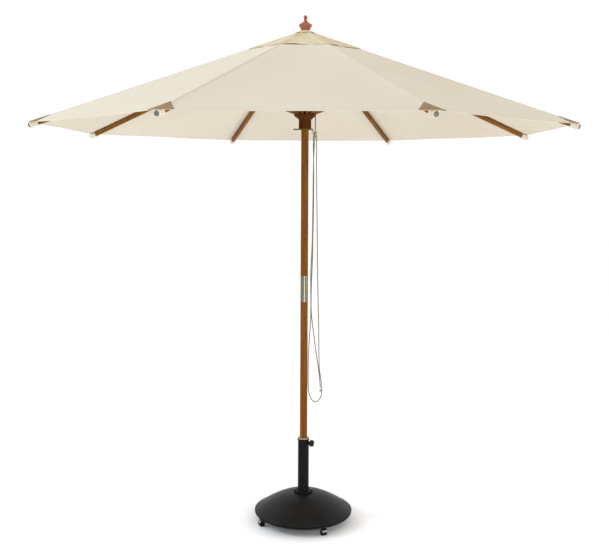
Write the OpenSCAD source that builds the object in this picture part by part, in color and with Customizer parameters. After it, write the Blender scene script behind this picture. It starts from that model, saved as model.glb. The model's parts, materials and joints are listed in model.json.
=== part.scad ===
// Octagonal patio umbrella: timber pole in two lengths, eight ribs and struts, cord and pulley lift,
// standing in a weighted dome base on four castors.
// The origin is on the floor under the pole's axis, +Z is up and sizes are in millimetres.

/* [Canopy] */
// Span of the canopy across opposite rib tips
canopy_span = 2700; // [2500:10:2900]
// Slope of the ribs when the umbrella is open, in degrees
rib_slope = 20.3; // [19:0.1:22]
// Height at which the fabric's ridges would meet over the pole
apex_h = 2525; // [2450:5:2600]
// Thickness of the fabric solids
fabric_t = 1.5; // [1:0.1:2]
// Radius of the vent cap to its corners
vent_r = 300; // [260:5:340]

/* [Frame] */
// Width of a rib
rib_w = 18; // [16:1:19]
// Height of a rib
rib_h = 24; // [20:1:26]
// Thickness of one slat of a strut
slat_t = 5; // [4:0.5:5]
// Height of a strut's slats
slat_h = 18; // [16:1:20]
// Radius of the circle on which ribs and struts are hinged
hinge_r = 47; // [46:0.5:48]
// Diameter of the hinge pins
hinge_pin_d = 6; // [5:0.5:6]

/* [Pole] */
// Diameter of the pole
pole_d = 38; // [36:0.5:38]
// Height of the joint between the two lengths of pole
pole_joint_h = 1209; // [1150:1:1250]
// Length of the dowel that plugs into the lower ferrule
dowel_len = 64; // [40:1:64]
// Length of one ferrule sleeve
ferrule_len = 67; // [66:1:80]
// Height of the strut hinges on the runner when open
runner_h = 2109; // [2095:1:2120]

/* [Base] */
// Greatest diameter of the dome
base_d = 505; // [480:5:520]
// Height of the flat on top of the dome
dome_top = 145; // [135:1:155]
// Height of the dome's underside over the floor
dome_bottom = 35; // [34.5:0.5:36]
// Outside diameter of the steel tube
tube_d = 57; // [56:0.5:60]
// Height of the top of the steel tube
tube_top = 427; // [400:1:450]
// Depth to which the pole stands in the tube
pole_depth = 275; // [200:1:275]
// Diameter of a castor wheel
wheel_d = 30; // [28:0.5:30]

/* [Hidden] */
RIBS = 8;
CASTORS = 4;
NUMBERS = [for (i = [1:RIBS]) i];
$fn = 64;
e = 0.01;
fit = 0.1;              // radial clearance of a pin that turns in its hole
gap = 0.5;              // clearance beside parts that swing past each other

teak = "peru";
dark_teak = "saddlebrown";
cloth = "antiquewhite";
steel = "silver";
black = "dimgray";
rope = "tan";

// the rib's centre line, its hinge and its length
tip_r = canopy_span / 2;
skin_gap = 1.7;         // air between rib and fabric, which falls away on both sides of the rib's line
under_fabric = (rib_h / 2 + skin_gap + fabric_t) / cos(rib_slope);
crown_h = apex_h - under_fabric - hinge_r * tan(rib_slope);
rib_end = (tip_r - 9 - hinge_r) / cos(rib_slope);
cap_r = 11.5;
// struts are as long as the rib from crown to strut pivot, so both hinge circles match at every height
strut_len = (crown_h - runner_h) / (2 * sin(rib_slope));
slat_in = rib_w / 2 + gap;
slat_out = slat_in + slat_t;

hub_r = 56;
hub_below = 14;
plate_r = 36;           // raised disc on the hub, inside the fabric's centre hole
plate_top = apex_h - 6;
collar_r = 32;
collar_below = 79;      // from strut hinges to the runner's foot
flare_below = 9.5;
tongue_above = 16.5;
pin_d = 8;
ring_r = 6;             // of the pull ring on the locking pin
pin_h = runner_h - collar_below - pin_d / 2 - 0.3;

sheave_h = crown_h - 62;
sheave_r = 24;
cord_d = 5;
groove_r = 20;
hoist_x = groove_r + cord_d / 2 + 0.5;
cord_x = 53;            // where the cord leaves the runner's rim
knot_bottom = 1985;

pole_r = pole_d / 2;
ferrule_t = 1;
tube_t = 2.5;
flange_r = 48.5;
flange_t = 12;
bolt_circle = 40;
pole_foot = tube_top - pole_depth;

castor_circle = 222;    // radius of the circle of swivel stems
castor_turn = 27.3;     // direction of the first castor
trail = 13;             // from stem to axle
knob_dir = -25.5;       // direction of the clamp knob
knob_h = 406;

function dir(i) = 22.5 + 45 * (i - 1);
function castor_dir(i) = castor_turn + 90 * (i - 1);

module place_rib(i) {
    rotate([0, 0, dir(i)]) translate([hinge_r, 0, crown_h]) rotate([0, rib_slope, 0]) children();
}
module place_strut(i) {
    rotate([0, 0, dir(i)]) translate([hinge_r, 0, runner_h]) rotate([0, -rib_slope, 0]) children();
}
module across(d, l) { rotate([90, 0, 0]) cylinder(d = d, h = l, center = true); }
// a bar along +X with round ends, of height h, centred on y = 0
module bar(length, h, w) {
    rotate([90, 0, 0]) linear_extrude(w, center = true) {
        circle(d = h);
        translate([0, -h / 2]) square([length, h]);
    }
}

// ---- ribs, struts and fabric ----
module rib(i) {
    color(dark_teak) place_rib(i) difference() {
        bar(rib_end - 3, rib_h, rib_w);
        across(hinge_pin_d + 2 * fit, rib_w + 2);
    }
}

module tip_cap(i) {
    color(steel) place_rib(i) translate([rib_end - 3, 0, 0]) rotate([0, 90, 0]) rotate_extrude() polygon([
        [0, 0], [cap_r, 0], [cap_r, 6], [cap_r - 1, 8.5], [cap_r - 3.5, 10], [3, 11], [0, 11]]);
}

// flat slab under four corners that lie in one plane
module slab(corners, t) {
    polyhedron(concat(corners, [for (c = corners) c - [0, 0, t]]),
        [[3, 2, 1, 0], [4, 5, 6, 7], [1, 5, 4, 0], [2, 6, 5, 1], [3, 7, 6, 2], [0, 4, 7, 3]]);
}
function roof_h(r) = apex_h - r * tan(rib_slope);
// point of the roof on the line a degrees from a rib's, set back from that line by off
function roof_point(r, a, off, lift = 0) = let (d = r * cos(a))
    [d * cos(a) + off * sin(a), d * sin(a) - off * cos(a), roof_h(r) + lift];
// the fabric over one rib: two flat halves that meet on the rib's line
module canopy(i) {
    inner_r = 40;
    outer_r = tip_r - 4;
    color(cloth) rotate([0, 0, dir(i)]) for (s = [0, 1]) mirror([0, s, 0])
        slab([roof_point(inner_r, 0, -0.1), roof_point(outer_r, 0, -0.1),
              roof_point(outer_r, 22.5, 0.3), roof_point(inner_r, 22.5, 0.3)], fabric_t / cos(rib_slope));
}

module strut(i) {
    spacer = slat_in * 2;
    color(dark_teak) place_strut(i) {
        difference() {
            union() {
                for (s = [-1, 1]) translate([0, s * (slat_in + slat_t / 2), 0]) {
                    bar(strut_len, slat_h, slat_t);
                    translate([strut_len, 0, 0]) across(slat_h, slat_t);
                }
                for (x = [90, 260]) translate([x, -spacer / 2 - e, -slat_h / 2]) cube([30, spacer + 2 * e, slat_h]);
            }
            across(hinge_pin_d + 2 * fit, 2 * slat_out + 2);
            translate([strut_len, 0, 0]) across(hinge_pin_d, 2 * slat_out + 2);
        }
    }
    color(steel) place_strut(i) for (s = [-1, 1]) translate([strut_len, s * (slat_in + slat_t / 2), 0]) {
        across(hinge_pin_d, slat_t);
        translate([0, s * (slat_t / 2 + 0.75), 0]) across(hinge_pin_d + 5, 1.5);
    }
}

// the vent cap: eight flat panels from rib to rib round a disc
module vent_cap() {
    inner_r = 43.4;
    above = 3 + fabric_t;
    function edge(r, side) = [r * cos(22.5), side * (r * sin(22.5) - 0.15), roof_h(r) + above];
    color(cloth) {
        for (i = NUMBERS) rotate([0, 0, dir(i) + 22.5])
            slab([edge(inner_r, -1), edge(vent_r, -1), edge(vent_r, 1), edge(inner_r, 1)], fabric_t);
        translate([0, 0, apex_h - 4]) rotate_extrude() polygon([[4.5, 0], [plate_r, 0],
            [plate_r, fabric_t], [4.5, fabric_t]]);
    }
}

// ---- crown ----
module crown_hub() {
    hub_top = crown_h + 14.5;
    rim_top = crown_h + 7;
    color(teak) difference() {
        rotate_extrude() polygon([[pole_r, crown_h - hub_below], [hub_r - 3, crown_h - hub_below],
            [hub_r, crown_h - hub_below + 3], [hub_r, rim_top], [plate_r, hub_top],
            [plate_r, plate_top - 2], [plate_r - 2, plate_top], [4.5, plate_top], [4.5, hub_top], [pole_r, hub_top]]);
        for (i = NUMBERS) rotate([0, 0, dir(i)]) {
            translate([33.5, -rib_w / 2 - gap, crown_h - 30]) cube([60, rib_w + 2 * gap, 42.5]);
            translate([hinge_r, 0, crown_h]) across(hinge_pin_d, 31);
        }
    }
}
module crown_pins() {
    color(steel) {
        for (i = NUMBERS) rotate([0, 0, dir(i)]) translate([hinge_r, 0, crown_h]) across(hinge_pin_d, 31);
        translate([0, 0, sheave_h]) across(hinge_pin_d, pole_d - 1);
    }
}
module sheave() {
    half = 5;
    color(steel) translate([0, 0, sheave_h]) rotate([90, 0, 0]) rotate_extrude() polygon([
        [hinge_pin_d / 2 + fit, -half], [sheave_r, -half], [sheave_r, -half + 1], [groove_r, -2], [groove_r, 2],
        [sheave_r, half - 1], [sheave_r, half], [hinge_pin_d / 2 + fit, half]]);
}
module finial() {
    foot = apex_h - 2.2;
    color("rosybrown") translate([0, 0, foot]) rotate_extrude() polygon(concat(
        [[0, 0], [22, 0], [22, 3], [19, 5], [18, 11], [20, 14], [27, 17]],
        [for (a = [-60:20:60]) [25 + 8.3 * cos(a), 26 + 9 * sin(a)]],
        [[27, 36], [16, 39], [11, 44], [8, 54], [7, 64]],
        [for (a = [-40:20:80]) [7.9 * cos(a), 76.5 + 8 * sin(a)]],
        [[0, 84.5]]));
    color(steel) translate([0, 0, foot - 40]) cylinder(d = 8, h = 40);
}

// ---- pole ----
module upper_pole() {
    color(teak) difference() {
        union() {
            translate([0, 0, pole_joint_h]) cylinder(r = pole_r, h = crown_h + 14.5 - pole_joint_h);
            translate([0, 0, pole_joint_h - dowel_len]) cylinder(d = 22, h = dowel_len + 1);
        }
        translate([0, 0, pole_joint_h - 1]) difference() {
            cylinder(r = pole_r + 1, h = ferrule_len + 1);
            cylinder(r = pole_r - ferrule_t, h = ferrule_len + 1);
        }
        translate([0, 0, sheave_h]) {
            cube([pole_d + 2, 12, 2 * sheave_r + 6], center = true);
            across(hinge_pin_d, pole_d + 2);
        }
        translate([0, 0, pin_h]) rotate([0, 90, 0]) cylinder(d = pin_d + 2 * fit, h = pole_d + 2, center = true);
        translate([0, 0, crown_h - 30]) cylinder(d = 8.4, h = 60);
    }
}
module ferrule(from) {
    translate([0, 0, from]) difference() {
        cylinder(r = pole_r + 0.4, h = ferrule_len);
        translate([0, 0, -1]) cylinder(r = pole_r - ferrule_t, h = ferrule_len + 2);
    }
}
module ferrule_upper() { color(steel) ferrule(pole_joint_h); }
module ferrule_lower() { color(steel) ferrule(pole_joint_h - ferrule_len); }
module lower_pole() {
    color(teak) difference() {
        translate([0, 0, pole_foot]) cylinder(r = pole_r, h = pole_joint_h - pole_foot);
        translate([0, 0, pole_joint_h - ferrule_len]) difference() {
            cylinder(r = pole_r + 1, h = ferrule_len + 1);
            translate([0, 0, -1]) cylinder(r = pole_r - ferrule_t, h = ferrule_len + 3);
        }
        translate([0, 0, pole_joint_h - dowel_len - 1]) cylinder(d = 22.2, h = dowel_len + 2);
    }
}

// ---- runner ----
module runner_hub() {
    bore = pole_r + 1;
    foot = runner_h - collar_below;
    rim = runner_h - flare_below;
    color(dark_teak) difference() {
        union() {
            rotate_extrude() polygon([[bore, foot], [collar_r - 1.5, foot], [collar_r, foot + 1.5],
                [collar_r, foot + 44], [collar_r + 3, foot + 48], [hub_r, rim - 5], [hub_r, rim], [bore, rim]]);
            translate([0, 0, rim - e]) cylinder(r = 28, h = tongue_above + flare_below + e);
            for (i = NUMBERS) rotate([0, 0, dir(i)]) translate([24, -rib_w / 2, rim - 1])
                cube([hinge_r + 8 - 24, rib_w, tongue_above + flare_below - 9]);
        }
        translate([0, 0, foot - 1]) cylinder(r = bore, h = 120);
        for (i = NUMBERS) rotate([0, 0, dir(i)]) translate([hinge_r, 0, runner_h]) across(hinge_pin_d, rib_w + 2);
        translate([cord_x, 0, foot]) cylinder(d = cord_d + 2, h = 100);
        translate([0, 0, rim]) for (s = [-1, 1]) translate([s * hoist_x, 0, -1]) cylinder(d = cord_d + 2, h = 60);
    }
}
module runner_pins() {
    color(steel) for (i = NUMBERS) rotate([0, 0, dir(i)]) translate([hinge_r, 0, runner_h]) {
        across(hinge_pin_d, 2 * slat_out);
        for (s = [-1, 1]) translate([0, s * (slat_out + 0.6), 0]) across(hinge_pin_d + 3, 1);
    }
}
module locking_pin() {
    color(steel) translate([0, 0, pin_h]) {
        rotate([0, 90, 0]) translate([0, 0, -60]) cylinder(d = pin_d, h = 102);
        translate([37, 0, -ring_r]) rotate([0, 90, 0]) rotate_extrude() translate([ring_r, 0]) circle(r = 1.6);
    }
}

// ---- cords ----
hoist_left = [[-23, 0, 2425], [-23, 0, 2350], [-23, 0, 2270], [-23, 0, 2190], [-23, 0, 2118]];
hoist_right = [[23, 0, 2425], [24, 0, 2396], [29, 0, 2325], [37, 0, 2255], [45, 0, 2185], [51, 0, 2127],
    [53, 0, 2096]];
// out of the runner, down to a hanging loop, up to the knot, over, and down again to a loose end
pull_route = [[53, 0, 2095], [53, -1, 2055], [52, -4, 2010], [50, -6, 1970], [47, -7, 1920], [44, -7, 1820],
    [43, -6, 1700], [42, -6, 1580], [41, -6, 1480], [38, -6, 1390], [34, -6, 1300], [34, -6, 1210], [35, -7, 1120],
    [33, -8, 1030], [28, -9, 950], [24, -9, 880], [23, -8, 800], [23, -6, 720], [26, -4, 675], [34, -2, 645],
    [46, 0, 626], [61, 1, 618], [76, 1, 626], [88, 1, 646], [94, 1, 676], [92, 0, 715], [86, -1, 755],
    [80, -1, 800], [78, -1, 860], [77, -1, 940], [75, 0, 1040], [72, 0, 1150], [69, 0, 1270], [67, 0, 1390],
    [65, 0, 1520], [63, 1, 1650], [61, 1, 1780], [60, 2, 1890], [60, 3, 1950], [60, 4, 1980], [57, 5, 1993],
    [51, 6, 1998], [45, 6, 1992], [43, 6, 1978], [43, 5, 1940], [45, 4, 1880], [46, 3, 1780], [46, 3, 1680],
    [45, 3, 1570], [43, 3, 1470], [42, 3, 1390], [40, 3, 1310], [37, 3, 1230], [36, 3, 1160], [37, 3, 1090],
    [42, 4, 1035], [50, 5, 975], [59, 6, 905], [68, 7, 840], [77, 8, 780], [83, 8, 730], [86, 8, 690]];

function unit(v) = v / norm(v);
function heading(p, k) = unit(p[min(k + 1, len(p) - 1)] - p[max(k - 1, 0)]);
function side_of(t) = unit(cross(t, [0, 1, 0]));
module tube_along(p, d, sides = 8) {
    rings = [for (k = [0:len(p) - 1]) let (t = heading(p, k), u = side_of(t), v = cross(t, u))
        [for (s = [0:sides - 1]) p[k] + d / 2 * (cos(360 * s / sides) * u + sin(360 * s / sides) * v)]];
    n = len(p);
    polyhedron([for (ring = rings) each ring], concat(
        [[for (s = [0:sides - 1]) s]], [[for (s = [sides - 1:-1:0]) (n - 1) * sides + s]],
        [for (k = [0:n - 2], s = [0:sides - 1]) [k * sides + s, (k + 1) * sides + s,
            (k + 1) * sides + (s + 1) % sides, k * sides + (s + 1) % sides]]));
}
module hoist_cord() {
    turn = [for (a = [180:-20:0]) [hoist_x * cos(a), 0, sheave_h + hoist_x * sin(a)]];
    up = [for (k = [len(hoist_left) - 1:-1:0]) hoist_left[k]];
    color(rope) tube_along(concat(up, turn, hoist_right), cord_d);
}
module pull_cord() { color(rope) tube_along(pull_route, cord_d); }
module cord_knot() {
    color(rope) {
        translate([51.5, 0, knot_bottom]) rotate_extrude() polygon([[0, 0], [8, 0], [11, 4], [12.5, 10], [12, 20],
            [9, 28], [4, 32], [0, 32]]);
        translate([86, 8, 677]) sphere(r = 6);
    }
}

// ---- base ----
module base_dome() {
    R = base_d / 2;
    seam = dome_bottom + 16;
    rise = dome_top - seam - 10;
    // the dome's curve from its shoulder up to the flat top
    crest = [for (u = [1:-0.1:0]) [60 + (R - 66) * u, seam + 6 + (rise + 4) * (1 - pow(u, 1.75))]];
    color("darkslategray") difference() {
        rotate_extrude($fn = 96) polygon(concat([[0, dome_bottom], [R - 12, dome_bottom], [R - 5, dome_bottom + 3],
            [R - 1.5, dome_bottom + 10], [R - 1, seam - 2], [R - 3, seam - 1], [R - 3, seam]],
            [[R, seam + 1], [R - 1, seam + 4]], crest, [[0, dome_top]]));
        for (i = [1:CASTORS]) rotate([0, 0, castor_dir(i)]) translate([castor_circle, 0, dome_bottom - 1])
            cylinder(d = 8 + 2 * fit, h = 22);
        for (a = [0, 180]) rotate([0, 0, a]) translate([bolt_circle, 0, dome_top - 30]) cylinder(d = 8, h = 40);
    }
}
module base_tube() {
    inner = tube_d / 2 - tube_t;
    color(black) difference() {
        union() {
            translate([0, 0, dome_top]) rotate_extrude() polygon([[0, 0], [flange_r, 0], [flange_r, flange_t - 2],
                [flange_r - 2, flange_t], [tube_d / 2 + 2, flange_t], [tube_d / 2, flange_t + 4],
                [tube_d / 2, tube_top - dome_top - 7], [tube_d / 2 + 2.5, tube_top - dome_top - 6],
                [tube_d / 2 + 2.5, tube_top - dome_top - 1], [tube_d / 2 + 1.5, tube_top - dome_top],
                [inner, tube_top - dome_top], [0, tube_top - dome_top]]);
            rotate([0, 0, knob_dir]) translate([tube_d / 2 - 1, 0, knob_h]) rotate([0, 90, 0])
                cylinder(d = 18, h = 8);
        }
        translate([0, 0, dome_top + 6]) cylinder(r = inner, h = tube_top);
        rotate([0, 0, knob_dir]) translate([0, 0, knob_h]) rotate([0, 90, 0]) cylinder(d = 8 + 2 * fit, h = 60);
        for (a = [0, 180]) rotate([0, 0, a]) translate([bolt_circle, 0, dome_top - 1]) cylinder(d = 8, h = 40);
    }
}
module flange_bolts() {
    color(steel) for (a = [0, 180]) rotate([0, 0, a]) translate([bolt_circle, 0, dome_top + flange_t]) {
        translate([0, 0, -30]) cylinder(d = 8, h = 30);
        cylinder(d = 13, h = 5, $fn = 6);
    }
}
module pole_bush() {
    outer = tube_d / 2 - tube_t - fit;
    inner = pole_r + 0.2;
    color("wheat") difference() {
        union() {
            translate([0, 0, tube_top - 120]) cylinder(r = outer, h = 120);
            translate([0, 0, tube_top + 0.3]) cylinder(r = tube_d / 2, h = 3.5);
            translate([0, 0, tube_top - 1]) cylinder(r = outer, h = 2);
        }
        translate([0, 0, tube_top - 121]) cylinder(r = inner, h = 130);
    }
}
module clamp_knob() {
    color(black) rotate([0, 0, knob_dir]) translate([0, 0, knob_h]) rotate([0, 90, 0]) {
        translate([0, 0, tube_d / 2 + 8]) {
            cylinder(d = 16, h = 6);
            translate([0, 0, 4]) linear_extrude(14) {
                circle(d = 27);
                for (k = [0:5]) rotate(60 * k) translate([11, 0]) circle(d = 13);
            }
            translate([0, 0, 17]) cylinder(d1 = 21, d2 = 16, h = 4);
        }
    }
    color(steel) rotate([0, 0, knob_dir]) translate([0, 0, knob_h]) rotate([0, 90, 0])
        translate([0, 0, tube_d / 2 - tube_t + 0.2]) cylinder(d = 8, h = tube_t + 7.8);
}
module place_castor(i) {
    rotate([0, 0, castor_dir(i)]) translate([castor_circle, 0, 0]) children();
}
module castor_fork(i) {
    axle_h = wheel_d / 2;
    hood = axle_h + 3.2;
    color(steel) place_castor(i) {
        difference() {
            union() {
                translate([0, 0, dome_bottom - 5]) cylinder(d = 8, h = 25);
                translate([0, 0, 12]) cylinder(d = 8, h = dome_bottom - 13);
                translate([0, -3.5, 9]) cube([trail, 7, 14]);
                translate([trail, 0, axle_h]) across(14, 7);
                translate([trail, 0, axle_h]) rotate([90, 0, 0]) linear_extrude(26, center = true)
                    intersection() {
                        difference() { circle(r = hood); circle(r = hood - 1.7); }
                        polygon([[0, 0], [-20, 34], [20, 34], [34, 12]]);
                    }
                translate([trail - 3, -3.5, axle_h + 5]) cube([6, 7, 12]);
            }
            translate([trail, 0, axle_h]) across(5 + 2 * fit, 30);
        }
    }
}
module castor_wheel(i) {
    color("black") place_castor(i) translate([trail, 0, wheel_d / 2]) {
        across(5, 12);
        for (s = [-1, 1]) translate([0, s * 8.3, 0]) rotate([90, 0, 0]) rotate_extrude() polygon([
            [0, -4], [wheel_d / 2 - 1.5, -4], [wheel_d / 2, -2.5], [wheel_d / 2, 2.5], [wheel_d / 2 - 1.5, 4], [0, 4]]);
    }
}

for (i = NUMBERS) {
    rib(i);
    tip_cap(i);
    canopy(i);
    strut(i);
}
for (i = [1:CASTORS]) {
    castor_fork(i);
    castor_wheel(i);
}
vent_cap();
crown_hub();
crown_pins();
sheave();
finial();
upper_pole();
ferrule_upper();
ferrule_lower();
lower_pole();
runner_hub();
runner_pins();
locking_pin();
hoist_cord();
pull_cord();
cord_knot();
base_dome();
base_tube();
flange_bolts();
pole_bush();
clamp_knob();
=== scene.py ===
"""Looks of the octagonal patio umbrella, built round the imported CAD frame. Metres, floor at z = 0, +Z up."""

import json
import math

import bmesh
import bpy
from mathutils import Matrix, Vector, noise


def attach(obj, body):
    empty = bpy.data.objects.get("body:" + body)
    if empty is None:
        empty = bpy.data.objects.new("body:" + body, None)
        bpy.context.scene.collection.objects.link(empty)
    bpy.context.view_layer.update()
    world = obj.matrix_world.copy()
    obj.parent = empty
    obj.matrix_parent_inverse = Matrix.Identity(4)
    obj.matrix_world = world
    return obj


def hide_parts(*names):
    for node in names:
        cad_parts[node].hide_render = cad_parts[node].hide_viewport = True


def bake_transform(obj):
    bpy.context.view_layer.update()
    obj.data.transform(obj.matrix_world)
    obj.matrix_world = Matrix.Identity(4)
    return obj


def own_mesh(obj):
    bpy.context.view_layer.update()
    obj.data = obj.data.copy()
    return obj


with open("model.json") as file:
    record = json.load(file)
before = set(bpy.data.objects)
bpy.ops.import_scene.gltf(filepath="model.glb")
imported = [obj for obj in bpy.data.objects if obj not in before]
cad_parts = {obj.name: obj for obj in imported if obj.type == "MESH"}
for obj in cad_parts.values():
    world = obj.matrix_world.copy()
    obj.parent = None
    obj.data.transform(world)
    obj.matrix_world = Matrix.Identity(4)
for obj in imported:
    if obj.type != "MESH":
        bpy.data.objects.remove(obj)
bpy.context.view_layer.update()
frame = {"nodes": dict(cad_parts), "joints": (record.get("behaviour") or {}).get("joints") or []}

# ---------------------------------------------------------------- sizes shared with the CAD source
RIBS = 8
SLOPE = math.radians(20.3)
APEX = 2.525
HINGE_R = 0.047
TIP_R = 1.350
RIB_W, RIB_H = 0.018, 0.024
CROWN_H = next(j for j in frame["joints"] if j["name"] == "rib_hinge_1")["pos_m"][2]
RUNNER_H = next(j for j in frame["joints"] if j["name"] == "strut_hinge_1")["pos_m"][2]
RIB_END = (TIP_R - 0.009 - HINGE_R) / math.cos(SLOPE)
STRUT_LEN = (CROWN_H - RUNNER_H) / (2 * math.sin(SLOPE))
HALF = math.radians(22.5)
SHEAVE_H = CROWN_H - 0.062
CORD_D = 0.005
HOIST_X = 0.023         # from the pole's axis to the hoist cord
PANEL_STEP = 1.31       # offset between the UV maps of neighbouring ribs, wider than a panel
SEAM_STITCH = 0.0065    # stitch line beside each rib's seam
HEM_STITCH = 1.3275     # radius of the hem's stitch line
STITCHES = 2 * math.pi / 0.0045


def direction(i):
    return math.radians(22.5 + 45 * (i - 1))


# ---------------------------------------------------------------- camera
camera_data = bpy.data.cameras.new("camera")
camera_data.sensor_width = 36.0
camera_data.lens = 51.2
camera_data.shift_y = -0.0786
camera = bpy.data.objects.new("camera", camera_data)
bpy.context.scene.collection.objects.link(camera)
heading, pitch, roll = math.radians(1.57), 0.055, math.radians(0.28)
camera.location = (4.44 * math.sin(heading), -4.44 * math.cos(heading), 1.771)
camera.rotation_euler = (Matrix.Rotation(heading, 4, "Z") @ Matrix.Rotation(math.pi / 2 - pitch, 4, "X")
                         @ Matrix.Rotation(roll, 4, "Z")).to_euler()
bpy.context.scene.camera = camera
bpy.context.scene.view_settings.view_transform = "Standard"


# ---------------------------------------------------------------- node materials
class Shader:
    """A material with a Principled shader and short calls for the nodes in front of it."""

    def __init__(self, name, roughness=0.5, metallic=0.0, **sockets):
        self.material = bpy.data.materials.new(name)
        self.material.use_nodes = True
        self.tree = self.material.node_tree
        self.bsdf = next(n for n in self.tree.nodes if n.type == "BSDF_PRINCIPLED")
        self.bsdf.inputs["Roughness"].default_value = roughness
        self.bsdf.inputs["Metallic"].default_value = metallic
        for key, value in sockets.items():
            self.bsdf.inputs[key.replace("_", " ")].default_value = value

    def put(self, socket, value):
        if isinstance(value, bpy.types.NodeSocket):
            self.tree.links.new(value, socket)
        else:
            socket.default_value = value

    def coords(self, kind, scale=(1, 1, 1), turn=(0, 0, 0)):
        source = self.tree.nodes.new("ShaderNodeTexCoord").outputs[kind]
        mapping = self.tree.nodes.new("ShaderNodeMapping")
        mapping.inputs["Scale"].default_value = scale
        mapping.inputs["Rotation"].default_value = turn
        self.tree.links.new(source, mapping.inputs["Vector"])
        return mapping.outputs["Vector"]

    def noise(self, where, scale, detail=3, distortion=0.0):
        node = self.tree.nodes.new("ShaderNodeTexNoise")
        self.put(node.inputs["Vector"], where)
        self.put(node.inputs["Scale"], scale)
        self.put(node.inputs["Detail"], detail)
        self.put(node.inputs["Distortion"], distortion)
        return node.outputs["Fac"]

    def wave(self, where, scale, axis):
        node = self.tree.nodes.new("ShaderNodeTexWave")
        node.bands_direction = axis
        self.put(node.inputs["Vector"], where)
        self.put(node.inputs["Scale"], scale)
        return node.outputs["Fac"]

    def math(self, operation, *values):
        node = self.tree.nodes.new("ShaderNodeMath")
        node.operation = operation
        for socket, value in zip(node.inputs, values):
            self.put(socket, value)
        return node.outputs[0]

    def axis(self, vector, name):
        node = self.tree.nodes.new("ShaderNodeSeparateXYZ")
        self.put(node.inputs[0], vector)
        return node.outputs[name]

    def ramp(self, factor, *stops):
        node = self.tree.nodes.new("ShaderNodeValToRGB")
        elements = node.color_ramp.elements
        while len(elements) < len(stops):
            elements.new(0.5)
        for element, (position, colour) in zip(elements, stops):
            element.position, element.color = position, (*colour, 1)
        self.put(node.inputs["Fac"], factor)
        return node.outputs["Color"]

    def mix(self, factor, a, b, mode="MIX"):
        node = self.tree.nodes.new("ShaderNodeMix")
        node.data_type, node.blend_type = "RGBA", mode
        self.put(node.inputs["Factor"], factor)
        for socket, value in ((node.inputs[6], a), (node.inputs[7], b)):
            self.put(socket, value if isinstance(value, bpy.types.NodeSocket) else (*value, 1))
        return node.outputs[2]

    def span(self, factor, low, high):
        node = self.tree.nodes.new("ShaderNodeMapRange")
        self.put(node.inputs["Value"], factor)
        self.put(node.inputs["To Min"], low)
        self.put(node.inputs["To Max"], high)
        return node.outputs["Result"]

    def colour(self, socket):
        self.put(self.bsdf.inputs["Base Color"], socket)
        return self

    def rough(self, socket):
        self.put(self.bsdf.inputs["Roughness"], socket)
        return self

    def bump(self, height, strength, distance):
        node = self.tree.nodes.new("ShaderNodeBump")
        node.inputs["Strength"].default_value = strength
        node.inputs["Distance"].default_value = distance
        self.put(node.inputs["Height"], height)
        self.tree.links.new(node.outputs["Normal"], self.bsdf.inputs["Normal"])
        return self


def canvas(name, light, dark, thread=0.0011, tint=None):
    """Plain weave over a UV map in metres, with slubs, uneven dye, stitch lines and faint creases."""
    s = Shader(name, roughness=0.9, Specular_IOR_Level=0.12)
    uv = s.coords("UV")
    warp = s.wave(uv, 1 / (thread * 2 * math.pi), "X")
    weft = s.wave(uv, 1 / (thread * 2 * math.pi), "Y")
    weave = s.math("MULTIPLY", s.math("ADD", warp, weft), 0.5)
    slub = s.noise(s.coords("UV", (260, 14, 1)), 1.0, 2)
    cloud = s.noise(s.coords("Object"), 2.1, 4)
    base = s.ramp(cloud, (0.32, dark), (0.68, light))
    base = s.mix(s.span(weave, 0.0, 0.10), base, [c * 0.72 for c in dark])
    base = s.mix(s.span(slub, 0.0, 0.10), base, [min(1.0, c * 1.05) for c in light])
    if tint:
        # random yellow-olive spots over the cloth, placed by noise
        spots = s.noise(s.coords("Object"), 17.0, 2, 0.6)
        yellow_spots = s.math("MULTIPLY", s.ramp(spots, (0.45, (0, 0, 0)), (0.70, (1, 1, 1))), 0.75)
        base = s.mix(yellow_spots, base, tint)
    across, along = s.axis(s.coords("UV"), "X"), s.axis(s.coords("UV"), "Y")
    from_rib = s.math("ABSOLUTE", s.math("WRAP", across, PANEL_STEP / 2, -PANEL_STEP / 2))
    seam = s.math("MULTIPLY", s.math("COMPARE", from_rib, SEAM_STITCH, 0.0006),
                  s.math("GREATER_THAN", s.math("SINE", s.math("MULTIPLY", along, STITCHES)), -0.4))
    hem = s.math("MULTIPLY", s.math("COMPARE", along, HEM_STITCH, 0.0006),
                 s.math("GREATER_THAN", s.math("SINE", s.math("MULTIPLY", across, STITCHES)), -0.4))
    base = s.mix(s.math("MULTIPLY", s.math("MAXIMUM", seam, hem), 0.55), base, [c * 0.45 for c in dark])
    crease = s.noise(s.coords("Object"), 9.0, 3, 0.4)
    height = s.math("ADD", s.math("MULTIPLY", slub, 0.25), s.math("MULTIPLY", crease, 1.6))
    height = s.math("ADD", s.math("MULTIPLY", weave, 0.25), height)
    return s.colour(base).bump(height, 0.5, 0.0012).material


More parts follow.
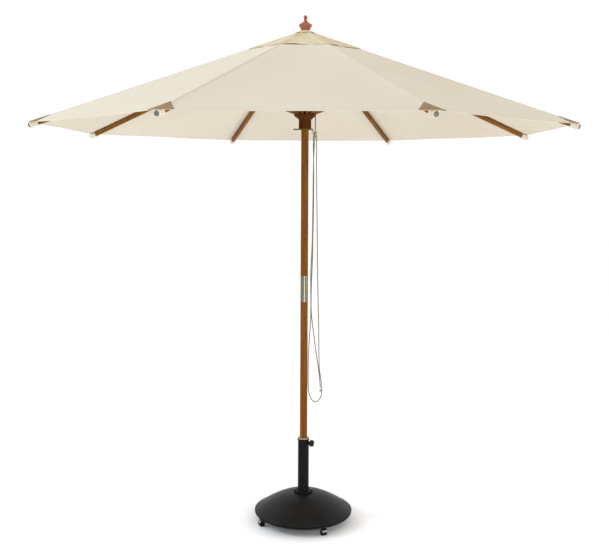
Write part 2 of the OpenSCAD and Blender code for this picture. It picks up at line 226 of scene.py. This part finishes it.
def wood(name, light, dark, kind="UV", roughness=0.42, along="Z"):
    """Straight-grained oiled timber: long streaks, fine pores and a slow drift of tone."""
    stretch = {"X": (0.06, 1, 1), "Y": (1, 0.06, 1), "Z": (1, 1, 0.06)}[along]
    s = Shader(name, roughness=roughness, Specular_IOR_Level=0.04)
    where = s.coords(kind, stretch)
    streak = s.noise(where, 95.0, 5, 0.9)
    broad = s.noise(s.coords(kind, tuple(0.35 * c if c == 0.06 else c for c in stretch)), 24.0, 3, 0.5)
    pores = s.noise(s.coords(kind, tuple(1.6 * c if c == 0.06 else c for c in stretch)), 620.0, 2)
    tone = s.math("ADD", s.math("MULTIPLY", streak, 0.6), s.math("MULTIPLY", broad, 0.4))
    base = s.ramp(tone, (0.36, dark), (0.52, [(a + b) / 2 for a, b in zip(light, dark)]), (0.66, light))
    base = s.mix(s.ramp(pores, (0.56, (0, 0, 0)), (0.70, (1, 1, 1))), base, [c * 0.5 for c in dark])
    height = s.math("SUBTRACT", streak, s.math("MULTIPLY", pores, 0.5))
    s.colour(base).rough(s.span(streak, roughness - 0.06, roughness + 0.14))
    return s.bump(height, 0.22, 0.0006).material


def metal(name, colour, roughness, brushed=90.0):
    s = Shader(name, roughness=roughness, metallic=1.0)
    lines = s.noise(s.coords("Object", (1, 1, 9)), brushed, 3)
    smear = s.noise(s.coords("Object"), 14.0, 3)
    base = s.mix(s.span(smear, 0.0, 0.22), colour, [c * 0.7 for c in colour])
    s.colour(base).rough(s.span(lines, roughness * 0.75, roughness * 1.4))
    return s.bump(lines, 0.02, 0.0003).material


def moulded(name, colour, roughness, grain=700.0, depth=0.00015, shine=0.07):
    s = Shader(name, roughness=roughness, Specular_IOR_Level=shine)
    fine = s.noise(s.coords("Object"), grain, 2)
    dust = s.noise(s.coords("Object"), 11.0, 4)
    base = s.mix(s.span(dust, 0.0, 0.25), colour, [min(1, c * 1.5 + 0.002) for c in colour])
    s.colour(base).rough(s.span(dust, roughness - 0.05, roughness + 0.12))
    return s.bump(fine, 0.4, depth).material


def concrete(name):
    s = Shader(name, roughness=0.42, Specular_IOR_Level=0.13)
    grit = s.noise(s.coords("Object"), 420.0, 4)
    patch = s.noise(s.coords("Object"), 16.0, 5)
    pits = s.ramp(s.noise(s.coords("Object"), 130.0, 2), (0.68, (0, 0, 0)), (0.74, (1, 1, 1)))
    base = s.ramp(patch, (0.3, (0.0045, 0.0042, 0.004)), (0.7, (0.010, 0.0095, 0.009)))
    base = s.mix(s.math("MULTIPLY", pits, 0.5), base, (0.022, 0.021, 0.020))
    hollows = s.math("SUBTRACT", patch, s.math("MULTIPLY", pits, 0.6))
    height = s.math("ADD", s.math("MULTIPLY", grit, 0.5), hollows)
    return s.colour(base).rough(s.span(patch, 0.32, 0.55)).bump(height, 0.35, 0.0008).material


def braid(name, light, dark):
    """Twisted cord: u runs round it and v along it, in turns and metres."""
    s = Shader(name, roughness=0.8, Specular_IOR_Level=0.1)
    uv = s.coords("UV")
    around = s.math("MULTIPLY", s.axis(uv, "X"), 2.0)
    along = s.math("MULTIPLY", s.axis(uv, "Y"), 130.0)
    strand = s.math("SINE", s.math("MULTIPLY", s.math("ADD", around, along), 2 * math.pi))
    back = s.math("SINE", s.math("MULTIPLY", s.math("SUBTRACT", around, along), 2 * math.pi))
    weave = s.span(s.math("MULTIPLY", s.math("ADD", strand, back), 0.25), 0.5, 1.5)
    fleck = s.noise(s.coords("Object"), 240.0, 2)
    # the colour follows the strands' relief and is darker down in the grooves between strands: painted shade
    base = s.ramp(weave, (0.35, dark), (0.9, light))
    base = s.mix(s.span(fleck, 0.0, 0.5), base, [c * 0.55 for c in dark])
    return s.colour(base).bump(weave, 0.6, 0.0005).material


M = {
    "canvas": canvas("canvas", (0.690, 0.624, 0.510), (0.655, 0.584, 0.466)),
    "vent": canvas("vent_canvas", (0.69, 0.60, 0.44), (0.62, 0.52, 0.34), tint=(0.52, 0.42, 0.18)),
    "patch": canvas("tan_canvas", (0.36, 0.245, 0.135), (0.25, 0.160, 0.078), thread=0.0016),
    "pole": wood("oiled_hardwood", (0.255, 0.098, 0.016), (0.135, 0.045, 0.006), "Object", 0.5),
    "rib": wood("dark_hardwood", (0.310, 0.140, 0.032), (0.155, 0.062, 0.012), "UV", 0.5, along="X"),
    "runner": wood("dark_turned_hardwood", (0.110, 0.034, 0.005), (0.048, 0.014, 0.002), "Object", 0.5),
    "finial": wood("finial_wood", (0.47, 0.195, 0.112), (0.33, 0.120, 0.065), "Object", 0.6),
    "steel": metal("polished_steel", (0.20, 0.17, 0.135), 0.24),
    "zinc": metal("zinc_steel", (0.19, 0.18, 0.155), 0.4),
    "chrome": metal("castor_chrome", (0.30, 0.30, 0.30), 0.16),
    "dome": concrete("black_concrete"),
    "tube": moulded("black_paint", (0.006, 0.0055, 0.0055), 0.34, 300.0, 0.0003),
    "black": moulded("black_plastic", (0.008, 0.008, 0.008), 0.30),
    "tyre": moulded("castor_tyre", (0.006, 0.006, 0.006), 0.38),
    "beige": moulded("beige_plastic", (0.42, 0.31, 0.17), 0.5),
    "cord": braid("cord", (0.33, 0.28, 0.19), (0.12, 0.095, 0.055)),
    "twine": braid("knot_cord", (0.62, 0.54, 0.39), (0.30, 0.24, 0.15)),
}


# ---------------------------------------------------------------- mesh helpers
def piece(name, verts, faces, material, body, uvs=None, sharp=35.0):
    mesh = bpy.data.meshes.new(name)
    mesh.from_pydata([tuple(v) for v in verts], [], faces)
    mesh.validate()
    if uvs:
        layer = mesh.uv_layers.new(name="UVMap")
        for loop in mesh.loops:
            layer.data[loop.index].uv = uvs[loop.vertex_index]
    bm = bmesh.new()
    bm.from_mesh(mesh)
    bmesh.ops.recalc_face_normals(bm, faces=bm.faces)
    bm.to_mesh(mesh)
    bm.free()
    mesh.polygons.foreach_set("use_smooth", [True] * len(mesh.polygons))
    mesh.set_sharp_from_angle(angle=math.radians(sharp))
    mesh.materials.append(M[material])
    obj = bpy.data.objects.new(name, mesh)
    bpy.context.scene.collection.objects.link(obj)
    if body:
        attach(obj, body)
    return obj


def sheet_shell(top, bottom, uv):
    """Closed thin shell from two grids of points of the same shape: vertices, faces and UVs."""
    rows, columns = len(top), len(top[0])
    verts = [p for grid in (top, bottom) for row in grid for p in row]
    uvs = [q for _ in range(2) for row in uv for q in row]
    count = rows * columns
    at = lambda r, c: r * columns + c
    faces = []
    for r in range(rows - 1):
        for c in range(columns - 1):
            quad = (at(r, c), at(r, c + 1), at(r + 1, c + 1), at(r + 1, c))
            faces += [quad, tuple(count + k for k in reversed(quad))]
    rim = [at(0, c) for c in range(columns)] + [at(r, columns - 1) for r in range(1, rows)]
    rim += [at(rows - 1, c) for c in range(columns - 2, -1, -1)] + [at(r, 0) for r in range(rows - 2, 0, -1)]
    for a, b in zip(rim, rim[1:] + rim[:1]):
        faces.append((a, b, count + b, count + a))
    return verts, faces, uvs


def lathe(name, profile, material, body, centre=(0, 0, 0), segments=96, turn=None):
    """Solid of revolution about Z from (radius, height) points; a radius of 0 closes it."""
    verts, faces, rings = [], [], []
    for r, z in profile:
        if r <= 1e-6:
            rings.append([len(verts)])
            verts.append(Vector((0, 0, z)))
        else:
            rings.append(list(range(len(verts), len(verts) + segments)))
            verts += [Vector((r * math.cos(a), r * math.sin(a), z))
                      for a in (2 * math.pi * k / segments for k in range(segments))]
    for a, b in zip(rings, rings[1:]):
        for k in range(segments):
            n = (k + 1) % segments
            corners = [a[k % len(a)], a[n % len(a)], b[n % len(b)], b[k % len(b)]]
            corners = list(dict.fromkeys(corners))
            if len(corners) > 2:
                faces.append(tuple(corners))
    placing = Matrix.Translation(centre) @ (turn or Matrix.Identity(4))
    return piece(name, [placing @ v for v in verts], faces, material, body)


def plank(outline, width, placing, bevel, name, material, body, offset=(0, 0)):
    """Board with this outline in its own XZ plane, eased edges, and UVs in metres with u along it."""
    bm = bmesh.new()
    near = [bm.verts.new((x, -width / 2, z)) for x, z in outline]
    face = bm.faces.new(near)
    moved = bmesh.ops.extrude_face_region(bm, geom=[face])["geom"]
    bmesh.ops.translate(bm, verts=[v for v in moved if isinstance(v, bmesh.types.BMVert)], vec=(0, width, 0))
    bmesh.ops.recalc_face_normals(bm, faces=bm.faces)
    eased = [e for e in bm.edges
             if abs(e.verts[0].co.y - e.verts[1].co.y) < 1e-6 or e.calc_face_angle(0) > 0.6]
    bmesh.ops.bevel(bm, geom=eased, offset=bevel, segments=2, profile=0.6, affect="EDGES")
    verts = [v.co.copy() for v in bm.verts]
    bm.verts.index_update()
    faces = [tuple(v.index for v in f.verts) for f in bm.faces]
    bm.free()
    uvs = [(v.x + offset[0], v.z + v.y + offset[1]) for v in verts]
    return piece(name, [placing @ v for v in verts], faces, material, body, uvs, sharp=50.0)


def smooth_path(points, per_leg=5):
    """Catmull-Rom line through the points."""
    pts = [Vector(p) for p in points]
    pts = [2 * pts[0] - pts[1]] + pts + [2 * pts[-1] - pts[-2]]
    line = []
    for a, b, c, d in zip(pts, pts[1:], pts[2:], pts[3:]):
        for k in range(per_leg):
            t = k / per_leg
            line.append(0.5 * (2 * b + (c - a) * t + (2 * a - 5 * b + 4 * c - d) * t * t
                               + (3 * b - a - 3 * c + d) * t ** 3))
    return line + [pts[-2]]


def tube(name, line, diameter, material, body, sides=12):
    """Round tube along a line, with u round it in turns and v along it in metres."""
    verts, faces, uvs, length = [], [], [], 0.0
    side = None
    for k, p in enumerate(line):
        along = (line[min(k + 1, len(line) - 1)] - line[max(k - 1, 0)]).normalized()
        side = (side - along * side.dot(along)).normalized() if side else along.orthogonal().normalized()
        other = along.cross(side)
        length += (p - line[k - 1]).length if k else 0.0
        for s in range(sides):
            a = 2 * math.pi * s / sides
            verts.append(p + diameter / 2 * (math.cos(a) * side + math.sin(a) * other))
            uvs.append((abs(2 * s / sides - 1), length))
    for k in range(len(line) - 1):
        for s in range(sides):
            n = (s + 1) % sides
            faces.append((k * sides + s, (k + 1) * sides + s, (k + 1) * sides + n, k * sides + n))
    faces += [tuple(range(sides)), tuple(range(len(verts) - 1, len(verts) - 1 - sides, -1))]
    return piece(name, verts, faces, material, body, uvs), length


# ---------------------------------------------------------------- cords
HOIST_LEFT = [(-23, 0, 2425), (-23, 0, 2350), (-23, 0, 2270), (-23, 0, 2190), (-23, 0, 2118)]
HOIST_RIGHT = [(23, 0, 2425), (24, 0, 2396), (29, 0, 2325), (37, 0, 2255), (45, 0, 2185), (51, 0, 2127),
               (53, 0, 2096)]
PULL_ROUTE = [
    (53, 0, 2095), (53, -1, 2055), (52, -4, 2010), (50, -6, 1970), (47, -7, 1920), (44, -7, 1820),
    (43, -6, 1700), (42, -6, 1580), (41, -6, 1480), (38, -6, 1390), (34, -6, 1300), (34, -6, 1210),
    (35, -7, 1120), (33, -8, 1030), (28, -9, 950), (24, -9, 880), (23, -8, 800), (23, -6, 720),
    (26, -4, 675), (34, -2, 645),
    (46, 0, 626), (61, 1, 618), (76, 1, 626), (88, 1, 646), (94, 1, 676), (92, 0, 715), (86, -1, 755),
    (80, -1, 800), (78, -1, 860), (77, -1, 940), (75, 0, 1040), (72, 0, 1150), (69, 0, 1270), (67, 0, 1390),
    (65, 0, 1520), (63, 1, 1650), (61, 1, 1780), (60, 2, 1890), (60, 3, 1950), (60, 4, 1980), (57, 5, 1993),
    (51, 6, 1998), (45, 6, 1992), (43, 6, 1978), (43, 5, 1940), (45, 4, 1880), (46, 3, 1780), (46, 3, 1680),
    (45, 3, 1570), (43, 3, 1470), (42, 3, 1390), (40, 3, 1310), (37, 3, 1230), (36, 3, 1160), (37, 3, 1090),
    (42, 4, 1035), (50, 5, 975), (59, 6, 905), (68, 7, 840), (77, 8, 780), (83, 8, 730), (86, 8, 690)]


def millimetres(points):
    return [Vector(p) / 1000 for p in points]


over = [Vector((-HOIST_X * math.cos(a), 0, SHEAVE_H + HOIST_X * math.sin(a)))
        for a in (math.radians(d) for d in range(0, 181, 20))]
hoist_line = smooth_path(millimetres(reversed(HOIST_LEFT)) + over + millimetres(HOIST_RIGHT))
hoist, _ = tube("hoist_cord_braid", hoist_line, CORD_D, "cord", None)
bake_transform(hoist)
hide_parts("hoist_cord")

pull_line = smooth_path(millimetres(PULL_ROUTE))
pull, pull_length = tube("pull_cord_braid", pull_line, CORD_D, "cord", "runner")
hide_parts("pull_cord")

# the hitch that gathers the strands: turns of the same cord round them, and a stopper knot on the loose end
HITCH_FOOT = Vector((0.0515, 0, 1.988))
HITCH_R, HITCH_PITCH, HITCH_TURNS, TURN_STEPS = 0.0092, 0.0052, 5, 16
turns = []
for k in range(TURN_STEPS * HITCH_TURNS + 1):
    a, w = 2 * math.pi * k / TURN_STEPS, 0.9 + 0.1 * math.sin(k * 0.37)
    turns.append(HITCH_FOOT + Vector((HITCH_R * w * math.cos(a), HITCH_R * w * math.sin(a),
                                      HITCH_PITCH * k / TURN_STEPS)))
hitch, _ = tube("pull_cord_hitch", turns, CORD_D, "twine", "runner")
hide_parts("cord_knot")
STOPPER = Vector((0.086, 0.008, 0.677))
KNOT_R, KNOT_STEPS = 0.0034, 60
bulb = []
for k in range(KNOT_STEPS + 1):
    a = 2 * math.pi * k / KNOT_STEPS
    rise = 0.0036 * math.cos(2 * a) * (1 + 0.2 * math.cos(3 * a))
    bulb.append(STOPPER + Vector((KNOT_R * math.sin(2 * a), KNOT_R * math.sin(3 * a), rise)))
stopper, _ = tube("pull_cord_stopper", bulb, CORD_D * 0.9, "twine", "runner")
for cord_piece in (pull, hitch, stopper):
    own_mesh(cord_piece)


# ---------------------------------------------------------------- canvas roof
def roof_point(i, side, x, r, lift=0.0, sag=0.010, inset=0.018, ripple=1.0, reach=TIP_R, loose=0.0):
    """Point of the roof. r is the radius at this height on the rib's line, x the distance from that line.

    sag hangs the panel's middle, inset curves the hem inward, ripple adds soft waves and pleats at the
    corner, and loose adds the wrinkles of slack cloth."""
    width = r * math.sin(HALF)
    u = min(1.0, x / max(width, 1e-6))
    arch = 1 - (1 - u) ** 2
    pull = max(0.0, (r - 0.55 * reach) / (0.45 * reach)) ** 2
    r_eff = r - inset * arch * pull / math.cos(HALF)
    on_seam = Vector((r_eff, 0))
    on_middle = r_eff * math.cos(HALF) * Vector((math.cos(HALF), math.sin(HALF)))
    flat = on_seam + (on_middle - on_seam) * u
    a = direction(i)
    px = flat.x * math.cos(a) - side * flat.y * math.sin(a)
    py = flat.x * math.sin(a) + side * flat.y * math.cos(a)
    z = APEX - r_eff * math.tan(SLOPE) + lift
    share = r / reach
    z -= sag * arch * math.sin(math.pi * min(1.0, share) ** 1.3 * 0.62)
    soft = (0.0035 * noise.noise(Vector((px * 3.1, py * 3.1, 0.7)))
            + 0.0011 * noise.noise(Vector((px * 9, py * 9, 2.2))))
    z += ripple * soft * arch * min(1.0, share * 2)
    tip = max(1e-6, math.hypot(reach - r, x))
    fan = math.sin(11.0 * math.atan2(x, reach - r + 1e-6)) * math.exp(-tip / 0.22) * 0.0022
    z += ripple * fan * 4 * u * (1 - u)
    if loose:
        wrinkle = noise.noise(Vector((px * 13, py * 13, 5.1)))
        wrinkle += 0.6 * noise.noise(Vector((px * 29, py * 29, 1.3)))
        rim = min(1.0, max(0.0, (share - 0.25) / 0.75))
        z += loose * arch * (0.5 * rim + (0.25 + 0.75 * rim) * wrinkle)
    return Vector((px, py, z))


def half_panel(name, i, side, radii, columns, material, slot, thickness,
               lift=0.0, edge=None, seam=0.009, **shape):
    """One half of a sewn panel, from its rib's seam to the panel's middle line."""
    top, bottom, uv = [], [], []
    for r, hem in radii:
        width = edge(r) if edge else r * math.sin(HALF)
        own = [0.0, seam - 0.0012, seam] if not edge else [0.0]
        start = own[-1]
        own += [start + (width - start) * (k / columns) for k in range(1, columns + 1)]
        rows = ([], [], [])
        for k, x in enumerate(own):
            raised = hem or (not edge and k < 2)
            p = roof_point(i, side, x, r, lift=lift, **shape)
            rows[0].append(p + Vector((0, 0, 0.0009 if raised else 0.0)))
            rows[1].append(p - Vector((0, 0, thickness)))
            rows[2].append((side * x + i * PANEL_STEP, r))
        top.append(rows[0])
        bottom.append(rows[1])
        uv.append(rows[2])
    verts, faces, uvs = sheet_shell(top, bottom, uv)
    obj = piece(name, verts, faces, material, f"rib_{i}", uvs)
    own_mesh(obj)
    return obj


# rows of each sheet from the middle outward, each with its radius and whether the folded hem thickens it
ROOF_IN, ROOF_OUT, ROOF_HEM = 0.040, TIP_R - 0.004, 0.022
roof_radii = [(ROOF_IN, False), (0.060, False), (0.090, False)]
roof_radii += [(0.09 + 1.22 * k / 22, False) for k in range(1, 23)]
roof_radii += [(ROOF_OUT - ROOF_HEM - 0.0015, False), (ROOF_OUT - ROOF_HEM, True)]
roof_radii += [(ROOF_OUT - 0.0012, True), (ROOF_OUT, False)]
VENT_IN, VENT_R, VENT_HEM = 0.044, 0.300, 0.012
vent_radii = [(VENT_IN + 0.234 * k / 12, False) for k in range(13)]
vent_radii += [(VENT_R - VENT_HEM - 0.0015, False), (VENT_R - VENT_HEM, True)]
vent_radii += [(VENT_R - 0.001, True), (VENT_R, False)]
PATCH_UP, PATCH_OUT = 0.095, 0.062

for i in range(1, RIBS + 1):
    for side, hand in ((1, "a"), (-1, "b")):
        panel = half_panel(f"canopy_panel_{i}{hand}", i, side, roof_radii, 18, "canvas", "canvas", 0.0010)
        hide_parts(f"canopy_{i}")
        flap = half_panel(f"vent_panel_{i}{hand}", i, side, vent_radii, 12, "vent", "vent_canvas", 0.0010,
                          lift=0.0030, sag=0.0045, inset=0.006, ripple=0.0, reach=VENT_R, loose=0.0036,
                          seam=0.006)
        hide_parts("vent_cap")
        patch_radii = [(ROOF_OUT + 0.0012 - PATCH_UP * (1 - k / 7), False) for k in range(8)]
        half_panel(f"corner_patch_{i}{hand}", i, side, patch_radii, 6, "patch", "canvas", 0.0003, lift=0.0022,
                   edge=lambda r: 0.002 + PATCH_OUT * (r - (ROOF_OUT - PATCH_UP)) / PATCH_UP)

# round reinforcement under the finial, clamped on the crown
top_patch = [(4.5, -3.8), (33, -3.8), (36, -4.6), (41, -8), (48, -12), (56, -15.4), (56, -16.8), (48, -13.6),
             (41, -9.6), (36, -6.4), (33, -5.5), (4.5, -5.5), (4.5, -3.8)]
top_patch = [(r / 1000, APEX + z / 1000) for r, z in top_patch]
crown_patch = lathe("crown_patch", top_patch, "vent", "upper_pole", segments=64)
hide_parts("vent_cap")


# ---------------------------------------------------------------- ribs, struts, pockets
def on_rib(i):
    return (Matrix.Rotation(direction(i), 4, "Z") @ Matrix.Translation((HINGE_R, 0, CROWN_H))
            @ Matrix.Rotation(SLOPE, 4, "Y"))


def on_strut(i):
    return (Matrix.Rotation(direction(i), 4, "Z") @ Matrix.Translation((HINGE_R, 0, RUNNER_H))
            @ Matrix.Rotation(-SLOPE, 4, "Y"))


def stadium(start, end, height, round_end=True):
    r = height / 2
    arc = [(r * math.cos(a), r * math.sin(a)) for a in (math.radians(d) for d in range(-90, 91, 15))]
    left = [(start - x, -z) for x, z in arc]
    if not round_end:
        return left + [(end, -r), (end, r)]
    return left + [(end + x, z) for x, z in arc]


SLAT_IN, SLAT_T, SLAT_H = RIB_W / 2 + 0.0005, 0.005, 0.018
RIVET = [(0, -0.005), (0.003, -0.005), (0.003, 0.0), (0.0055, 0.0), (0.0052, 0.0009), (0.0035, 0.0015),
         (0, 0.0018)]
SPACERS = (0.090, 0.260)            # where the two blocks sit between a strut's slats
# the pocket's rings: distance from the rib's end, and how far each stands off the rib
POCKET = ((-0.036, 0.0014), (-0.0345, 0.0024), (-0.032, 0.0024), (-0.0305, 0.0010), (-0.020, 0.0006),
          (-0.008, 0.0008), (-0.002, 0.0010), (0.0010, 0.0002), (0.0022, -0.0020))
SQUARENESS = 4.0                    # power of the superellipse that the pocket's section follows
for i in range(1, RIBS + 1):
    rib = plank(stadium(0, RIB_END - 0.003, RIB_H, False), RIB_W, on_rib(i), 0.0022, f"rib_timber_{i}", "rib",
                f"rib_{i}", (i * 0.77, i * 0.31))
    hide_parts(f"rib_{i}")
    for side, hand in ((1, "a"), (-1, "b")):
        at = on_strut(i) @ Matrix.Translation((0, side * (SLAT_IN + SLAT_T / 2), 0))
        slat = plank(stadium(0, STRUT_LEN, SLAT_H), SLAT_T, at, 0.0012, f"strut_slat_{i}{hand}", "rib",
                     f"strut_{i}", (i * 0.53 + side, i * 0.17))
        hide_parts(f"strut_{i}")
        face = on_strut(i) @ Matrix.Translation((STRUT_LEN, side * (SLAT_IN + SLAT_T), 0)) @ Matrix.Rotation(
            -side * math.pi / 2, 4, "X")
        lathe(f"strut_rivet_{i}{hand}", RIVET, "zinc", f"strut_{i}", segments=20, turn=face)
    for k, x in enumerate(SPACERS):
        block = [(x, -SLAT_H / 2), (x + 0.03, -SLAT_H / 2), (x + 0.03, SLAT_H / 2), (x, SLAT_H / 2)]
        plank(block, 2 * SLAT_IN, on_strut(i), 0.0008, f"strut_spacer_{i}{'ab'[k]}", "rib", f"strut_{i}",
              (i * 0.4, 0.3))

    # canvas pocket that takes the rib's end: a sleeve under the corner with a rolled mouth
    rows = []
    for x, grow in POCKET:
        ring = []
        for d in range(0, 360, 18):
            a = math.radians(d)
            c, s = math.cos(a), math.sin(a)
            m = (abs(c) ** SQUARENESS + abs(s) ** SQUARENESS) ** (-1 / SQUARENESS)
            ring.append(Vector((RIB_END + x, (RIB_W / 2 + 0.0026 + grow) * c * m,
                                -0.0012 + (RIB_H / 2 + 0.0006 + grow) * s * m)))
        rows.append(ring)
    sides = len(rows[0])
    verts = [on_rib(i) @ v for ring in rows for v in ring]
    faces = []
    for k in range(len(rows) - 1):
        for s in range(sides):
            n = (s + 1) % sides
            faces.append((k * sides + s, (k + 1) * sides + s, (k + 1) * sides + n, k * sides + n))
    faces += [tuple(range(sides)), tuple(range(len(verts) - 1, len(verts) - 1 - sides, -1))]
    uvs = [(0.004 * (k % sides), 0.01 * (k // sides)) for k in range(len(verts))]
    piece(f"rib_pocket_{i}", verts, faces, "canvas", f"rib_{i}", uvs, sharp=60.0)

# ---------------------------------------------------------------- finial and dome
finial_foot = APEX - 0.0042
profile = [(0, 0), (21.5, 0), (22.5, 0.8), (22.8, 4), (23.4, 9), (25.2, 14), (28.2, 19), (31.4, 24),
           (33, 28.5), (33, 31.5), (31.6, 34.5), (28.2, 37), (23.4, 39.6), (17.5, 42.6), (12.6, 46.6),
           (9.3, 51.5), (7.6, 56.5), (7.3, 60.5), (8.2, 64.5), (9.6, 68), (10, 71), (9.6, 74.2), (8, 77.4),
           (5, 79.7), (0, 80.6)]
finial = lathe("finial_turned", [(r / 1000, z / 1000) for r, z in profile], "finial", "finial",
               centre=(0, 0, finial_foot))
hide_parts("finial")

DOME_R, DOME_TOP, DOME_FOOT = 0.2525, 0.145, 0.035
seam_h = DOME_FOOT + 0.016
crest = [(0.060 + (DOME_R - 0.0655) * u, seam_h + 0.006 + (DOME_TOP - seam_h - 0.006) * (1 - u ** 1.5))
         for u in (1 - k / 28 for k in range(29))]
profile = [(0, DOME_FOOT), (DOME_R - 0.030, DOME_FOOT), (DOME_R - 0.014, DOME_FOOT + 0.0012),
           (DOME_R - 0.006, DOME_FOOT + 0.005), (DOME_R - 0.0025, DOME_FOOT + 0.010),
           (DOME_R - 0.0012, seam_h - 0.004),
           (DOME_R - 0.0020, seam_h - 0.0028), (DOME_R - 0.0060, seam_h - 0.002),
           (DOME_R - 0.0060, seam_h + 0.0008), (DOME_R - 0.0020, seam_h + 0.0018),
           (DOME_R, seam_h + 0.0032), (DOME_R - 0.0010, seam_h + 0.0050)]
profile += crest + [(0.050, DOME_TOP), (0, DOME_TOP)]
dome = lathe("base_dome_cast", profile, "dome", "base", segments=160)
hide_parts("base_dome")

# ---------------------------------------------------------------- materials on the CAD nodes that stay
LOOKS = {"crown_hub": "pole", "crown_pins": "zinc", "sheave": "zinc", "upper_pole": "pole",
         "lower_pole": "pole", "ferrule_upper": "steel", "ferrule_lower": "steel", "runner_hub": "runner",
         "runner_pins": "zinc",
         "locking_pin": "zinc", "base_tube": "tube", "flange_bolts": "steel", "pole_bush": "beige",
         "clamp_knob": "black", "tip_cap": "zinc", "castor_fork": "chrome", "castor_wheel": "tyre"}
for name, node in frame["nodes"].items():
    look = LOOKS.get(name) or LOOKS.get(name.rsplit("_", 1)[0]) or "canvas"
    node.data.materials.clear()
    node.data.materials.append(M[look])

# ---------------------------------------------------------------- floor and light
floor_mesh = bpy.data.meshes.new("floor")
floor_mesh.from_pydata([(-30, -30, 0), (30, -30, 0), (30, 30, 0), (-30, 30, 0)], [], [(0, 1, 2, 3)])
floor = bpy.data.objects.new("floor", floor_mesh)
bpy.context.scene.collection.objects.link(floor)
pale = Shader("floor_white", roughness=0.9)
mottle = pale.noise(pale.coords("Object"), 0.6, 2)
pale.colour(pale.ramp(mottle, (0.3, (0.93, 0.93, 0.93)), (0.7, (0.95, 0.95, 0.95))))
floor_mesh.materials.append(pale.material)

world = bpy.data.worlds.new("studio")
world.use_nodes = True
background = next(n for n in world.node_tree.nodes if n.type == "BACKGROUND")
background.inputs["Color"].default_value = (1, 1, 1, 1)
background.inputs["Strength"].default_value = 1.07
bpy.context.scene.world = world


def area_light(name, place, target, size, energy, colour=(1, 1, 1)):
    data = bpy.data.lights.new(name, "AREA")
    data.shape, data.size, data.energy, data.color = "DISK", size, energy, colour
    light = bpy.data.objects.new(name, data)
    light.location = place
    light.rotation_euler = (Vector(target) - Vector(place)).to_track_quat("-Z", "Y").to_euler()
    light.visible_camera = False
    bpy.context.scene.collection.objects.link(light)


area_light("key_left", (-5.2, -0.8, 3.95), (0, 0, 2.3), 2.0, 135, (0.66, 0.80, 1.0))
area_light("low_front", (0.5, -3.2, 0.62), (0, 0.3, 2.3), 1.0, 25, (1.0, 0.97, 0.93))
area_light("rim_right", (4.6, -0.6, 1.3), (0, 0, 0.2), 1.2, 30)
